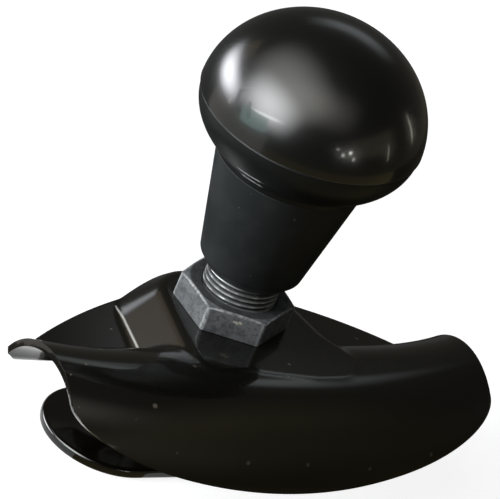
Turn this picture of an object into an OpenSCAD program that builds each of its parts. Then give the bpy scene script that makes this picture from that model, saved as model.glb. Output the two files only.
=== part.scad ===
// Clamp-on spinner knob for a steering wheel: a pressed steel saddle and a flat
// plate grip the rim, a lock nut draws them together on a turned stud, and a
// mushroom knob runs on a ball bearing and a guide bush on the same stud.
// +Z runs up the stud, +X along the rim, +Y towards the wheel's hub. The origin
// is on the stud's axis, in the flat underside of the lower plate.

/* [Rim and wheel] */
// Radius of the steering wheel's rim circle, which both plates follow
wheel_r = 200; // [150:5:260]
// Height of the nut's seat above the lower plate at rest
clamp_gap = 32.5; // [29:0.5:36]

/* [Upper clamp plate] */
// Thickness of the pressed sheet
sheet_t = 2; // [1.2:0.1:2.5]
// Half length of the plate along the rim
plate_half = 65; // [58:1:75]
// Distance of both plates' middle from the stud, along the rim
plate_shift = 2; // [0:0.5:5]
// Outer radius of the arch over the rim
arch_r = 21.2; // [19:0.2:22]
// Distance of the arch's centre in front of the stud
arch_y = 28.3; // [27.5:0.1:30]
// Drop of the arch's crest below the nut's seat
crest_drop = 0.2; // [0:0.1:0.6]
// Width of the flat crest at mid length
crest_w = 7; // [4:0.5:9]
// Reach of the rear edge behind the stud
rear_reach = 20.6; // [19.6:0.2:24]
// Radius of the rear edge's outline
rear_r = 100; // [95:1:140]
// Drop of the rear flange below the seat at mid length
flange_drop = 6.8; // [5.8:0.2:8]
// Further drop of the rear flange from mid length to the plate's ends
flange_fall = 7.8; // [6:0.2:9]
// Downward curl of the rear flange's two corners
corner_curl = 1; // [0:0.2:3]
// Radius between the arch and the rear flange
flange_fillet = 5; // [3.5:0.5:6]
// Length of the skirt below the crest at the plate's ends, along the sheet
skirt_end = 14.6; // [12:0.2:18]
// Further length of the skirt at mid length, along the sheet
skirt_mid = 18.4; // [14:0.2:20]
// Angle at which the skirt's hem starts to flare
flare_start = 82; // [76:1:88]
// Radius of the hem's flare
flare_r = 9; // [6:0.5:14]

/* [Nut platform] */
// Half width of the platform's flat top beside the stud
seat_half = 18.5; // [17.5:0.5:22]
// Reach of the flat top behind the stud
seat_rear = 15.8; // [15:0.2:17]
// Reach of the flat top in front of the stud
seat_front = 24; // [20:0.5:27]
// Inward lean of the platform's sides towards the rear
seat_taper = 0.2; // [0:0.02:0.3]
// Radius of the platform's corners in plan
seat_corner = 7; // [4:0.5:10]
// Slope of the platform's walls, in degrees
wall_slope = 48; // [40:1:60]
// Radius of the platform's upper edge
seat_edge = 4.4; // [1:0.2:5]
// Blend between the platform and the arch
blend_k = 1; // [0.8:0.1:3]

/* [Lower clamp plate] */
// Length of the lower plate along the rim
lower_l = 96; // [80:1:110]
// Width of the lower plate
lower_w = 36.4; // [33:0.2:42]
// Thickness of the lower plate
lower_t = 3; // [2.5:0.25:4]
// Rounding of the lower plate's edges
lower_edge = 1.1; // [0.5:0.1:1.2]
// Distance of the lower plate's middle in front of the stud
lower_y = 6.4; // [3:0.1:8]

/* [Stud] */
// Diameter of the stud's thread
stud_d = 20; // [18:0.5:20]
// Pitch of the stud's thread
stud_pitch = 1.5; // [1:0.25:2]
// Height of the stud's shoulder above the nut's seat
shoulder_h = 13.6; // [13:0.2:15]
// Diameter of the spigot riveted into the lower plate
spigot_d = 15; // [13:0.5:16]
// Diameter of the journal that runs in the guide bush
journal_d = 14; // [13:0.5:15]
// Diameter of the threaded end inside the head
end_d = 10; // [8:0.5:10]

/* [Lock nut] */
// Width across the flats of the lock nut
nut_af = 27; // [26:0.5:30]
// Height of the lock nut
nut_h = 7.5; // [7:0.25:8]
// Turn of the nut's flats from the plate's length, in degrees
nut_turn = 0; // [-30:1:30]

/* [Neck sleeve] */
// Height of the neck's lower end above the nut's seat
neck_h0 = 12.5; // [12:0.25:13]
// Height of the neck's upper end above the nut's seat
neck_h1 = 47; // [46:0.5:50]
// Diameter of the neck's lower end
neck_d0 = 22.8; // [22.4:0.2:24]
// Diameter of the neck above its lower chamfer
neck_d1 = 27.8; // [27:0.2:30]
// Height of the neck's lower chamfer
neck_chamfer = 2.9; // [2:0.1:4]
// Diameter of the neck's upper end
neck_d2 = 40.4; // [38:0.2:42]
// Diameter of the spigot that screws into the head
hub_d = 32; // [31.6:0.1:33]
// Length of the spigot that screws into the head
hub_l = 8; // [7:0.25:9]

/* [Head] */
// Diameter of the head at its parting line
head_d = 60.4; // [56:0.5:70]
// Height of the parting line above the nut's seat
part_h = 62.4; // [60:0.5:66]
// Height of the dome above the parting line
dome_h = 26.6; // [22:0.2:32]
// Depth of the head's underside below the parting line
belly_h = 19; // [17:0.2:22]
// Wall of the dome cap and the head shell
head_wall = 3; // [2:0.25:4]
// Depth of the cap's lip inside the head shell
lip_l = 4; // [3:0.25:5]
// Depth of the hairline step at the parting line
part_step = 0.35; // [0.2:0.05:0.6]

/* [Ball bearing] */
// Bore of the ball bearing
brg_bore = 12; // [10:0.5:12]
// Outside diameter of the ball bearing
brg_d = 28; // [26:0.5:28]
// Width of the ball bearing
brg_w = 8; // [7:0.25:8]
// Height of the bearing's lower face above the nut's seat
brg_h = 43; // [42:0.5:44]
// Diameter of a ball
ball_d = 4.6; // [4:0.1:4.8]
// Number of balls
ball_n = 8; // [6:1:8]

/* [Guide bush and small parts] */
// Wall of the guide bush
bush_wall = 2; // [1.5:0.25:2.5]
// Length of the guide bush
bush_l = 12; // [8:0.5:16]
// Height of the dust seal
seal_h = 2; // [1.5:0.25:2.5]
// Thickness of the circlip over the bearing
clip_t = 1.2; // [1:0.1:1.5]
// Depth of the circlip's groove
clip_groove = 0.7; // [0.5:0.1:0.9]
// Thickness of the washer under the end nut
washer_t = 1.5; // [1:0.25:2]
// Width across the flats of the end nut
end_nut_af = 17; // [15:0.5:17]
// Height of the end nut
end_nut_h = 8; // [6:0.5:9]

/* [Fits] */
// Radial clearance of a running fit
run_fit = 0.05; // [0.02:0.01:0.1]
// Radial clearance of the clamp plate over the stud
slip_fit = 0.4; // [0.3:0.05:0.6]
// Gap between turning parts that never touch
free_gap = 0.3; // [0.2:0.05:0.5]

/* [Hidden] */
$fn = 96;

seat_z = lower_t + clamp_gap;
// Radial gap that parts the two solids of a press fit
push_fit = 0.01;

// Upper clamp plate: grid density
cols = 52;
rows_n = 34;
grad_d = 0.02;
arch_cz = seat_z - crest_drop - arch_r;

// Offset of the rim's circle towards the hub at a place along the rim
function bow(x) = x * x / (2 * wheel_r);
// Width of the flat crest, fading to nothing at the ends
function crest(x) = crest_w * pow(cos(90 * min(1, abs(x) / plate_half)), 2);
// Height of the rear flange
function flange_z(x) =
    let (t = min(1, abs(x) / plate_half))
    seat_z - flange_drop - flange_fall * t - corner_curl * pow(t, 6);
// Angle at which the arch turns into the rear flange
function turn_a(x) =
    acos((flange_z(x) - arch_cz + flange_fillet) / (arch_r + flange_fillet));
function arc_len(r, a) = r * a * PI / 180;
function arc_deg(r, l) = l / r * 180 / PI;
// Place across the rim where the rear flange becomes flat
function flat_y(x) = -arch_y + crest(x) + (arch_r + flange_fillet) * sin(turn_a(x));
// Lengths along the sheet, from the front of the crest, of the turns behind it
function len_arc(x) = crest(x) + arc_len(arch_r, turn_a(x));
function len_flat(x) = len_arc(x) + arc_len(flange_fillet, turn_a(x));
len_flare = -arc_len(arch_r, flare_start);

// Outer surface of the section at x, s being the length along the sheet
function section(x, s) =
    s < len_flare ? flare_point(arc_deg(flare_r, len_flare - s)) :
    s < 0 ? arc_point(0, arc_deg(arch_r, s)) :
    s < crest(x) ? [-arch_y + s, arch_cz + arch_r] :
    s < len_arc(x) ? arc_point(crest(x), arc_deg(arch_r, s - crest(x))) :
    s < len_flat(x) ? fillet_point(x, arc_deg(flange_fillet, len_flat(x) - s)) :
    [flat_y(x) + s - len_flat(x), flange_z(x)];
function arc_point(y, a) = [-arch_y + y + arch_r * sin(a), arch_cz + arch_r * cos(a)];
function fillet_point(x, a) =
    [flat_y(x) - flange_fillet * sin(a), flange_z(x) + flange_fillet * (1 - cos(a))];
function flare_point(a) =
    let (r = arch_r + flare_r)
    [
        -arch_y - r * sin(flare_start) + flare_r * sin(flare_start - a),
        arch_cz + r * cos(flare_start) - flare_r * cos(flare_start - a)
    ];

// Height of the nut's platform over a place, before it meets the arch
function seat_dist(x, y) =
    let (
        hx = seat_half - seat_taper * y - seat_corner,
        hy = (seat_rear + seat_front) / 2 - seat_corner,
        cy = (seat_rear - seat_front) / 2,
        dx = max(abs(x) - hx, 0),
        dy = max(abs(y - cy) - hy, 0)
    )
    norm([dx, dy]) - seat_corner;
function seat_height(d) =
    let (run = seat_edge * sin(wall_slope))
    d <= 0 ? seat_z :
    d < run ? seat_z - seat_edge + sqrt(seat_edge * seat_edge - d * d) :
    seat_z - seat_edge * (1 - cos(wall_slope)) - (d - run) * tan(wall_slope);
function blend_max(a, b, k) =
    let (h = max(k - abs(a - b), 0) / k)
    max(a, b) + h * h * k / 4;

// Outer surface of the pressed sheet
function outer(x, s) =
    let (p = section(x, s), y = p[0] + bow(x))
    s < -arc_len(arch_r, 45) ? [x, y, p[1]] :
    [x, y, min(seat_z, blend_max(p[1], seat_height(seat_dist(x, y)), blend_k))];
// Unit normal of the outer surface, pointing out of the sheet
function normal_at(x, s) =
    let (
        a = outer(x + grad_d, s) - outer(x - grad_d, s),
        b = outer(x, s + grad_d) - outer(x, s - grad_d),
        n = cross(a, b)
    )
    n / norm(n);
function inner(x, s) = outer(x, s) - sheet_t * normal_at(x, s);

// Rear edge and hem of the blank, as lengths along the sheet
function len_rear(x) =
    len_flat(x) + rear_reach - x * x / (2 * rear_r) - bow(x) - flat_y(x);
function len_hem(x) =
    -skirt_end - skirt_mid * sqrt(max(0, 1 - pow(x / plate_half, 2)));

module pressed_sheet() {
    xs = [for (i = [0:cols]) plate_half * sin(180 * i / cols - 90)];
    ss = [for (i = [0:cols]) [for (j = [0:rows_n])
        let (t = j / rows_n) len_rear(xs[i]) * (1 - t) + len_hem(xs[i]) * t]];
    top = [for (i = [0:cols]) for (j = [0:rows_n]) outer(xs[i], ss[i][j])];
    under = [for (i = [0:cols]) for (j = [0:rows_n]) inner(xs[i], ss[i][j])];
    n = rows_n + 1;
    m = len(top);
    function at(i, j) = i * n + j;
    polyhedron(
        points = concat(top, under),
        faces = concat(
            [for (i = [0:cols - 1]) for (j = [0:rows_n - 1])
                each [[at(i, j), at(i, j + 1), at(i + 1, j + 1)],
                      [at(i, j), at(i + 1, j + 1), at(i + 1, j)]]],
            [for (i = [0:cols - 1]) for (j = [0:rows_n - 1])
                each [[m + at(i, j), m + at(i + 1, j + 1), m + at(i, j + 1)],
                      [m + at(i, j), m + at(i + 1, j), m + at(i + 1, j + 1)]]],
            [for (i = [0:cols - 1]) each [
                [at(i, 0), at(i + 1, 0), m + at(i + 1, 0)],
                [at(i, 0), m + at(i + 1, 0), m + at(i, 0)],
                [at(i, rows_n), m + at(i + 1, rows_n), at(i + 1, rows_n)],
                [at(i, rows_n), m + at(i, rows_n), m + at(i + 1, rows_n)]]],
            [for (j = [0:rows_n - 1]) each [
                [at(0, j), m + at(0, j + 1), at(0, j + 1)],
                [at(0, j), m + at(0, j), m + at(0, j + 1)],
                [at(cols, j), at(cols, j + 1), m + at(cols, j + 1)],
                [at(cols, j), m + at(cols, j + 1), m + at(cols, j)]]]
        )
    );
}

module upper_clamp_plate() {
    color("#2b2a28")
    difference() {
        translate([plate_shift, 0, 0]) pressed_sheet();
        translate([0, 0, seat_z - 2 * sheet_t])
            cylinder(d = stud_d + 2 * slip_fit, h = 4 * sheet_t);
    }
}

// Flat oval plate with rounded edges, and the stud's spigot riveted into it
rivet_depth = lower_t * 0.45;
rivet_flare = rivet_depth * 0.8;
module edge_profile(w) {
    h = lower_t / 2 - lower_edge;
    translate([0, lower_edge]) square([w, 2 * h]);
    square([w - lower_edge, lower_t]);
    for (y = [lower_edge, lower_t - lower_edge])
        translate([w - lower_edge, y]) circle(r = lower_edge, $fn = 32);
}
module lower_clamp_plate() {
    reach = (lower_l - lower_w) / 2;
    color("#191919")
    difference() {
        translate([plate_shift, -lower_y, 0]) {
            for (x = [-reach, reach])
                translate([x, 0, 0])
                    rotate_extrude() edge_profile(lower_w / 2);
            translate([-reach, 0, 0])
                rotate([90, 0, 90])
                    linear_extrude(2 * reach) {
                        edge_profile(lower_w / 2);
                        mirror([1, 0]) edge_profile(lower_w / 2);
                    }
        }
        rivet_hole();
    }
}
module rivet_hole() {
    rotate_extrude()
        polygon([
            [0, -1],
            [spigot_d / 2 + rivet_flare, -1],
            [spigot_d / 2 + rivet_flare, 0],
            [spigot_d / 2, rivet_depth],
            [spigot_d / 2, lower_t + 1],
            [0, lower_t + 1]
        ]);
}

// Turned stud: riveted foot, thread for the lock nut, journal, bearing seat, end
// The chamfers reach the thread's root, and a pitch of thread stands out of the end nut
stud_chamfer = 0.65 * stud_pitch;
end_set = 0.3;
shoulder_z = seat_z + shoulder_h;
brg_z = seat_z + brg_h;
end_z = brg_z + brg_w - end_set;
stud_top = end_z + end_set + washer_t + end_nut_h + stud_pitch;
module pillar_stud() {
    color("#55585a")
    rotate_extrude()
        polygon([
            [0, 0],
            [spigot_d / 2 + rivet_flare, 0],
            [spigot_d / 2, rivet_depth],
            [spigot_d / 2, lower_t],
            [stud_d / 2, lower_t],
            [stud_d / 2, shoulder_z - stud_chamfer],
            [stud_d / 2 - stud_chamfer, shoulder_z],
            [journal_d / 2, shoulder_z],
            [journal_d / 2, brg_z],
            [brg_bore / 2, brg_z],
            [brg_bore / 2, end_z],
            [end_d / 2, end_z],
            [end_d / 2, stud_top - stud_chamfer],
            [end_d / 2 - stud_chamfer, stud_top],
            [0, stud_top]
        ]);
}

// Hexagon with its top corners turned off at 30 degrees
module hex_blank(af, h, chamfered) {
    corner_r = af / sqrt(3);
    face_r = af / 2 * 0.97;
    fall = (corner_r - face_r) * tan(30);
    intersection() {
        cylinder(r = corner_r, h = h, $fn = 6);
        if (chamfered)
            union() {
                cylinder(r = corner_r + 1, h = h - fall);
                translate([0, 0, h - fall])
                    cylinder(r1 = corner_r, r2 = face_r, h = fall);
            }
    }
}
module lock_nut() {
    color("#4b4f52")
    translate([0, 0, seat_z])
    difference() {
        rotate([0, 0, 30 + nut_turn]) hex_blank(nut_af, nut_h, true);
        translate([0, 0, -1]) cylinder(d = stud_d + 2 * run_fit, h = nut_h + 2);
    }
}

// Tapered sleeve that carries the bearing and screws into the head
neck_z0 = seat_z + neck_h0;
neck_z1 = seat_z + neck_h1;
seal_z = shoulder_z + free_gap;
bush_z = seal_z + seal_h;
bush_d = journal_d + 2 * run_fit + 2 * bush_wall;
skirt_r = stud_d / 2 + 0.5;
bore_gap = 1;
ledge_w = 1.5;
ledge_t = 1;
clip_z = brg_z + brg_w;
module neck_sleeve() {
    hub_top = neck_z1 + hub_l;
    color("#30363b")
    rotate_extrude()
        polygon([
            [skirt_r, neck_z0],
            [neck_d0 / 2, neck_z0],
            [neck_d1 / 2, neck_z0 + neck_chamfer],
            [neck_d2 / 2, neck_z1],
            [hub_d / 2, neck_z1],
            [hub_d / 2, hub_top],
            [brg_d / 2, hub_top],
            [brg_d / 2, clip_z + clip_t],
            [brg_d / 2 + clip_groove, clip_z + clip_t],
            [brg_d / 2 + clip_groove, clip_z],
            [brg_d / 2, clip_z],
            [brg_d / 2, brg_z],
            [brg_d / 2 - ledge_w, brg_z],
            [brg_d / 2 - ledge_w, brg_z - ledge_t],
            [journal_d / 2 + bore_gap, brg_z - ledge_t],
            [journal_d / 2 + bore_gap, bush_z + bush_l],
            [bush_d / 2, bush_z + bush_l],
            [bush_d / 2, bush_z],
            [skirt_r, bush_z]
        ]);
}

// Mushroom head: a moulded shell screwed on the neck, closed by a snapped-in cap
part_z = seat_z + part_h;
head_r = head_d / 2;
lip_t = head_wall * 0.42;
arc_n = 28;
function oval(rx, rz, a) = [rx * cos(a), part_z + rz * sin(a)];
function oval_a(rx, r) = acos(r / rx);

module head_shell() {
    neck_r = neck_d2 / 2;
    hub_r = hub_d / 2 + run_fit;
    boss_r = hub_d / 2 + head_wall;
    in_r = head_r - head_wall;
    in_h = belly_h - head_wall;
    rebate_r = head_r - head_wall + lip_t + free_gap / 2;
    rebate_z = part_z - lip_l - free_gap;
    a_out = oval_a(head_r, neck_r);
    a_top = asin(part_step / belly_h);
    a_in = oval_a(in_r, boss_r);
    a_reb = asin((part_z - rebate_z) / in_h);
    color("#33373a")
    rotate_extrude()
        polygon(concat(
            [[rebate_r, part_z], [head_r - part_step, part_z]],
            [for (i = [0:arc_n]) oval(head_r, belly_h, -a_top - (a_out - a_top) * i / arc_n)],
            [[neck_r, neck_z1], [hub_r, neck_z1], [hub_r, neck_z1 + hub_l],
             [boss_r, neck_z1 + hub_l]],
            [for (i = [arc_n:-1:0]) oval(in_r, in_h, -a_reb - (a_in - a_reb) * i / arc_n)],
            [[rebate_r, rebate_z]]
        ));
}

module dome_cap() {
    in_r = head_r - head_wall;
    in_h = dome_h - head_wall;
    lip_r = in_r + lip_t;
    lip_z = part_z - lip_l;
    a_low = asin(part_step / dome_h);
    color("#101112")
    rotate_extrude()
        polygon(concat(
            [[in_r, lip_z], [lip_r, lip_z], [lip_r, part_z], [head_r - part_step, part_z]],
            [for (i = [0:arc_n]) oval(head_r, dome_h, a_low + (90 - a_low) * i / arc_n)],
            [for (i = [arc_n:-1:0]) oval(in_r, in_h, 90 * i / arc_n)]
        ));
}

// Plain sleeve bush and felt seal in the neck's lower end
module tube(r0, r1, z, h) {
    translate([0, 0, z])
        difference() {
            cylinder(r = r1, h = h);
            translate([0, 0, -1]) cylinder(r = r0, h = h + 2);
        }
}
module guide_bush() {
    color("#a8803c")
    tube(journal_d / 2 + run_fit, bush_d / 2 - push_fit, bush_z, bush_l);
}
module dust_seal() {
    color("#3c3a36")
    tube(journal_d / 2 + free_gap, skirt_r - push_fit, seal_z, seal_h);
}

// Sealed deep groove ball bearing
ball_ring_r = (brg_bore + brg_d) / 4;
groove_r = ball_d / 2 + 0.15;
pocket_r = ball_d / 2 + 0.1;
race_gap = 1.5;
seal_t = 0.6;
seal_in = 0.4;
cage_h = brg_w * 0.7;
cage_t = 1.8;
module race(r0, r1) {
    rotate_extrude()
        difference() {
            translate([r0, brg_z]) square([r1 - r0, brg_w]);
            translate([ball_ring_r, brg_z + brg_w / 2]) circle(r = groove_r, $fn = 48);
        }
}
module ball_places() {
    for (i = [0:ball_n - 1])
        rotate([0, 0, 360 * i / ball_n])
            translate([ball_ring_r, 0, brg_z + brg_w / 2])
                children();
}
module bearing_inner_race() {
    color("#b9bcc0") race(brg_bore / 2 + push_fit, ball_ring_r - race_gap);
}
module bearing_outer_race() {
    color("#b9bcc0") race(ball_ring_r + race_gap, brg_d / 2 - push_fit);
}
module bearing_balls() {
    color("#d5d8dc") ball_places() sphere(d = ball_d, $fn = 48);
}
module bearing_cage() {
    color("#b58d45")
    difference() {
        tube(ball_ring_r - cage_t / 2, ball_ring_r + cage_t / 2,
             brg_z + (brg_w - cage_h) / 2, cage_h);
        ball_places() sphere(r = pocket_r, $fn = 48);
    }
}
module bearing_seal(z) {
    color("#2a1a16")
    tube(ball_ring_r - race_gap + free_gap, ball_ring_r + race_gap - push_fit, z, seal_t);
}
module bearing_upper_seal() bearing_seal(brg_z + brg_w - seal_in - seal_t);
module bearing_lower_seal() bearing_seal(brg_z + seal_in);

// Internal circlip with its two pliers' eyes
module circlip() {
    r_out = brg_d / 2 + clip_groove - run_fit;
    r_in = brg_d / 2 - 1.6;
    split = 0.8;
    lug_r = 1.5;
    lug_a = 9;
    hole_r = 0.6;
    color("#3f4245")
    difference() {
        union() {
            tube(r_in, r_out, clip_z, clip_t);
            for (a = [-lug_a, lug_a])
                rotate([0, 0, a])
                    translate([r_in, 0, clip_z]) cylinder(r = lug_r, h = clip_t);
        }
        translate([r_in - 2 * lug_r, -split / 2, clip_z - 1])
            cube([4 * lug_r + 2, split, clip_t + 2]);
        for (a = [-lug_a, lug_a])
            rotate([0, 0, a])
                translate([r_in, 0, clip_z - 1]) cylinder(r = hole_r, h = clip_t + 2);
    }
}

// Washer and self-locking nut that hold the bearing's inner race on the stud
washer_z = brg_z + brg_w;
end_nut_z = washer_z + washer_t;
collar_h = end_nut_h * 0.3;
insert_r = end_nut_af * 0.4;
collar_r = insert_r + 0.9;
insert_h = collar_h - 0.5;
module end_washer() {
    color("#9a9da0")
    tube(end_d / 2 + 0.2, ball_ring_r - race_gap + 0.6, washer_z, washer_t);
}
module end_nut() {
    color("#8f9396")
    translate([0, 0, end_nut_z])
    difference() {
        union() {
            hex_blank(end_nut_af, end_nut_h - collar_h, true);
            cylinder(r = collar_r, h = end_nut_h);
        }
        translate([0, 0, -1]) cylinder(r = end_d / 2 + run_fit, h = end_nut_h + 2);
        translate([0, 0, end_nut_h - insert_h]) cylinder(r = insert_r, h = insert_h + 1);
    }
}
module nut_insert() {
    color("#e6e2d2")
    tube(end_d / 2 + run_fit, insert_r - push_fit,
         end_nut_z + end_nut_h - insert_h, insert_h - 0.3);
}

upper_clamp_plate();
lower_clamp_plate();
pillar_stud();
lock_nut();
neck_sleeve();
head_shell();
dome_cap();
guide_bush();
dust_seal();
bearing_inner_race();
bearing_outer_race();
bearing_balls();
bearing_cage();
bearing_upper_seal();
bearing_lower_seal();
circlip();
end_washer();
end_nut();
nut_insert();
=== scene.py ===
import math

import bmesh
import bpy
from mathutils import Matrix, Vector


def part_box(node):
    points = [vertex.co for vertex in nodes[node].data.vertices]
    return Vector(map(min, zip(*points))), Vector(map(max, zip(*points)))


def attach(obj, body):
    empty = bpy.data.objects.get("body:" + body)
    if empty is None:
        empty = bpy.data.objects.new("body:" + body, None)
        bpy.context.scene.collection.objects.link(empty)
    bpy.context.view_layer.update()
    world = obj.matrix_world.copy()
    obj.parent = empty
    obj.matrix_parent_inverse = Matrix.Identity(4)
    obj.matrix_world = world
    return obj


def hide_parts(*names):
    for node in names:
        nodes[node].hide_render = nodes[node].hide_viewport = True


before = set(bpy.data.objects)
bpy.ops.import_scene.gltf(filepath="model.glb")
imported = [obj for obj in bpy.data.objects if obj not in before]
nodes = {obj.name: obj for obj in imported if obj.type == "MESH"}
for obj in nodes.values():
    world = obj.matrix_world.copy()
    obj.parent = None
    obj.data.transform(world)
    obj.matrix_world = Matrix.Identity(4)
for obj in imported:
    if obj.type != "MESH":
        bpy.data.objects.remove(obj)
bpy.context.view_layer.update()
MM = 0.001

# The view: the photograph's camera stands far off, above and to the left of the
# clamp's mouth, and is rolled so that the stud leans to the right. Its place is
# worked out from the corners of the lock nut and the knob's parting line.
SEAT_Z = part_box("lock_nut")[0].z
AZIMUTH = math.radians(-40.5)
ELEVATION = math.radians(29.77)
ROLL = math.radians(22.75)
DISTANCE = 3.0
PIXELS_PER_M = 3880.0
IMAGE_WIDTH, IMAGE_HEIGHT = 500, 499
SEAT_PIXEL = (229.5, 310.9)
SENSOR = 36.0

toward = Vector((
    math.sin(AZIMUTH) * math.cos(ELEVATION),
    -math.cos(AZIMUTH) * math.cos(ELEVATION),
    math.sin(ELEVATION)))
level = Vector((math.cos(AZIMUTH), math.sin(AZIMUTH), 0.0))
upright = toward.cross(level)
right = math.cos(ROLL) * level + math.sin(ROLL) * upright
up = math.cos(ROLL) * upright - math.sin(ROLL) * level
aim = (Vector((0.0, 0.0, SEAT_Z))
       + right * ((IMAGE_WIDTH / 2 - SEAT_PIXEL[0]) / PIXELS_PER_M)
       + up * ((SEAT_PIXEL[1] - IMAGE_HEIGHT / 2) / PIXELS_PER_M))
turn = Matrix((right, up, toward)).transposed().to_4x4()
camera = bpy.data.objects.new("camera", bpy.data.cameras.new("camera"))
bpy.context.scene.collection.objects.link(camera)
camera.matrix_world = Matrix.Translation(aim + toward * DISTANCE) @ turn
camera.data.sensor_width = SENSOR
camera.data.lens = PIXELS_PER_M * DISTANCE * SENSOR / IMAGE_WIDTH
camera.data.clip_end = 20.0
bpy.context.scene.camera = camera
bpy.context.scene.view_settings.view_transform = "Standard"


# The studio: a white table in a white room, and two soft lamps. The photograph's
# gloss shows a dim brown room with a bright window, so dark cloths and glowing
# cards stand round the knob out of the camera's sight, as a product set has them.
class Term:
    """A number in a node tree, which adds, multiplies and so on as numbers do."""

    def __init__(self, tree, socket):
        self.tree, self.socket = tree, socket

    def op(self, operation, *others):
        node = self.tree.nodes.new("ShaderNodeMath")
        node.operation = operation
        for slot, term in zip(node.inputs, (self, *others)):
            if isinstance(term, Term):
                self.tree.links.new(term.socket, slot)
            else:
                slot.default_value = term
        return Term(self.tree, node.outputs[0])

    def __add__(self, b):
        return self.op("ADD", b)

    def __sub__(self, b):
        return self.op("SUBTRACT", b)

    def __rsub__(self, b):
        return self.op("MULTIPLY_ADD", -1.0, b)

    def __mul__(self, b):
        return self.op("MULTIPLY", b)

    def __rmul__(self, b):
        return self.op("MULTIPLY", b)

    def __truediv__(self, b):
        return self.op("DIVIDE", b)

    def __neg__(self):
        return self.op("MULTIPLY", -1.0)

    def high(self, b):
        return self.op("MAXIMUM", b)

    def low(self, b):
        return self.op("MINIMUM", b)

    def held(self, top=1.0):
        """The number, held between 0 and top."""
        return self.high(0.0).low(top)

    def sin(self):
        return self.op("SINE")

    def cos(self):
        return self.op("COSINE")

    def root(self):
        return self.op("SQRT")

    def power(self, b):
        return self.op("POWER", b)

    def size(self):
        return self.op("ABSOLUTE")

    def below(self, b):
        return self.op("LESS_THAN", b)


def link_all(tree, *pairs):
    """Joins sockets of a node tree, pair by pair."""
    for a, b in pairs:
        tree.links.new(a, b)


def shown(tree):
    """1 for the rays that show the set: the camera's, and those off gloss or through glass."""
    path = tree.nodes.new("ShaderNodeLightPath")
    seen = Term(tree, path.outputs["Is Camera Ray"])
    for kind in ("Is Glossy Ray", "Is Transmission Ray"):
        seen = seen.high(Term(tree, path.outputs[kind]))
    return seen


ROOM_LIGHT = (0.030, 0.032, 0.034)
world = bpy.data.worlds.new("studio")
world.use_nodes = True
bpy.context.scene.world = world
sky = world.node_tree
white_or_dim = sky.nodes.new("ShaderNodeMix")
white_or_dim.data_type = "RGBA"
white_or_dim.inputs[6].default_value = (*ROOM_LIGHT, 1.0)
white_or_dim.inputs[7].default_value = (1.0, 1.0, 1.0, 1.0)
link_all(
    sky,
    (shown(sky).socket, white_or_dim.inputs[0]),
    (white_or_dim.outputs[2], sky.nodes["Background"].inputs["Color"]))


def flat_mesh(name, corners):
    """A flat mesh of one face."""
    mesh = bpy.data.meshes.new(name)
    mesh.from_pydata(corners, [], [range(len(corners))])
    return mesh


def rectangle(name, a, b):
    """A flat rectangle about its middle, from half its width and half its height."""
    return flat_mesh(name, [(-a, -b, 0), (a, -b, 0), (a, b, 0), (-a, b, 0)])


def staged(name, mesh, material, matrix=None):
    """Stands a piece of the set in the scene."""
    mesh.materials.append(material)
    piece = bpy.data.objects.new(name, mesh)
    bpy.context.scene.collection.objects.link(piece)
    if matrix is not None:
        piece.matrix_world = matrix
    return piece


TABLE_HALF = 1.5
TABLE_SHEEN = 0.88
table_paint = bpy.data.materials.new("table_white")
table_paint.use_nodes = True
tree = table_paint.node_tree
tree.nodes.clear()
plain = tree.nodes.new("ShaderNodeBsdfDiffuse")
plain.inputs["Color"].default_value = (0.10, 0.088, 0.068, 1.0)
shade = tree.nodes.new("ShaderNodeBsdfDiffuse")
shade.inputs["Color"].default_value = (0.45, 0.45, 0.45, 1.0)
glow = tree.nodes.new("ShaderNodeEmission")
glow.inputs["Strength"].default_value = TABLE_SHEEN
both = tree.nodes.new("ShaderNodeAddShader")
mix = tree.nodes.new("ShaderNodeMixShader")
out = tree.nodes.new("ShaderNodeOutputMaterial")
link_all(
    tree,
    (shown(tree).socket, mix.inputs[0]),
    (plain.outputs[0], mix.inputs[1]),
    (shade.outputs[0], both.inputs[0]),
    (glow.outputs[0], both.inputs[1]),
    (both.outputs[0], mix.inputs[2]),
    (mix.outputs[0], out.inputs[0]))
staged("table", rectangle("table", TABLE_HALF, TABLE_HALF), table_paint)
NECK_MIDDLE = 0.03
middle = Vector((0.0, 0.0, SEAT_Z + NECK_MIDDLE))


def bearing(azimuth, rise):
    """A direction from the knob: azimuth 0 is out of the mouth, 90 to the right; degrees."""
    a, e = math.radians(azimuth), math.radians(rise)
    return Vector((math.sin(a) * math.cos(e), -math.cos(a) * math.cos(e), math.sin(e)))


def softbox(name, azimuth, rise, distance, size, power, colour):
    """A square lamp that faces the knob. Its own shape doesn't show in the gloss."""
    lamp = bpy.data.lights.new(name, "AREA")
    lamp.size = size
    lamp.energy = power
    lamp.color = colour
    holder = bpy.data.objects.new(name, lamp)
    bpy.context.scene.collection.objects.link(holder)
    holder.location = middle + bearing(azimuth, rise) * distance
    holder.rotation_euler = bearing(azimuth, rise).to_track_quat("Z", "Y").to_euler()
    holder.visible_glossy = False


softbox("window_lamp", -102, 20, 1.1, 0.5, 11.5, (0.94, 0.98, 1.0))
softbox("ceiling_lamp", -60, 68, 1.1, 0.6, 1.5, (1.0, 1.0, 1.0))


def gloss_only(piece):
    """Only gloss sees this piece of the set. It hides nothing and throws no light or shadow."""
    piece.visible_camera = False
    piece.visible_diffuse = False
    piece.visible_shadow = False
    piece.visible_transmission = False


def glowing(name, colour):
    """A material of plain light, with its tree, its light node and its output."""
    material = bpy.data.materials.new(name)
    material.use_nodes = True
    tree = material.node_tree
    tree.nodes.clear()
    light = tree.nodes.new("ShaderNodeEmission")
    light.inputs["Color"].default_value = (*colour, 1.0)
    end = tree.nodes.new("ShaderNodeOutputMaterial")
    tree.links.new(light.outputs[0], end.inputs[0])
    return material, tree, light, end


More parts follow.
